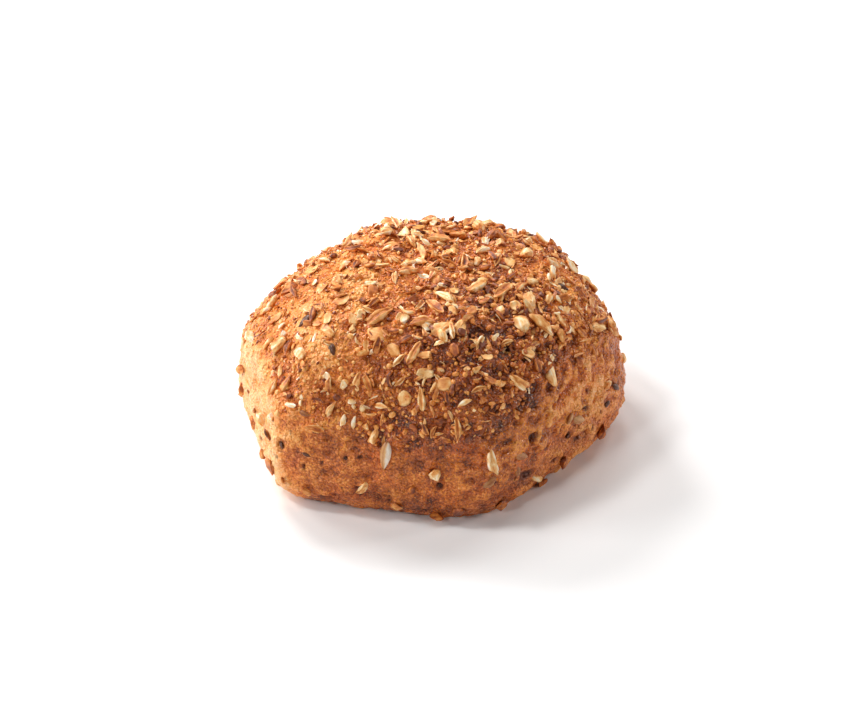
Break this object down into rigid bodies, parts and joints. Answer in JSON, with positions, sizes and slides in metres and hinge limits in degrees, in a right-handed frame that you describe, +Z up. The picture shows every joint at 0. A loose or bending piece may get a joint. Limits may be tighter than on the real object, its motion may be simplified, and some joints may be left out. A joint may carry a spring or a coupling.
{
  "type": "bread roll",
  "caption": "Whole-grain bread roll with a six-sided foot, a domed crust and cracked grain, seeds and flakes baked on top.",
  "frame": {"origin": "middle of the flat underside, which the roll rests on", "axes": "+Z up through the crown, +X towards the roll's right-hand corner, +Y away from the side with the fewest grains"},
  "size_m": [0.101, 0.0902, 0.0511],
  "materials": {
    "crust": "baked brown crust, satin on the dome and matt on the cut sides",
    "grain": "toasted cracked grain, husks and flakes, matt",
    "seed": "dark oily seeds, smooth and slightly glossy"
  },
  "bodies": {
    "root": {"seeded_roll": "crust"}
  },
  "joints": []
}
